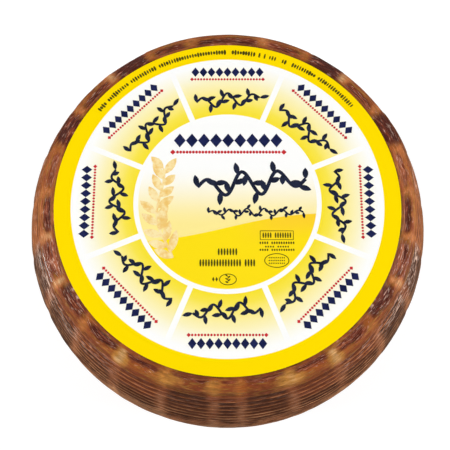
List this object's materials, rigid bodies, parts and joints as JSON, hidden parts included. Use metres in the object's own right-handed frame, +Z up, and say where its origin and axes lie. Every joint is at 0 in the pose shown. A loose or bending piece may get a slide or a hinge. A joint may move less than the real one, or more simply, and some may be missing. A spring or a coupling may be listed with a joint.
{
  "type": "hard goat cheese wheel",
  "caption": "Round wheel of aged hard goat cheese with barrel sides, reed-basket ridges in a brown rind and a flat round paper label on top.",
  "frame": {"origin": "centre of the flat base, on the surface that the wheel rests on", "axes": "+Z up along the wheel's axis, towards the label; -Y is the front of the label's print; +X to the right"},
  "size_m": [0.1998, 0.1996, 0.102],
  "materials": {
    "rind": "oiled brown cheese rind, glossy, amber on the shoulder and dark brown in the grooves",
    "label_paper": "coated paper, yellow and white print"
  },
  "bodies": {
    "root": {"cheese_wheel": "rind", "paper_label": "label_paper"}
  },
  "joints": []
}
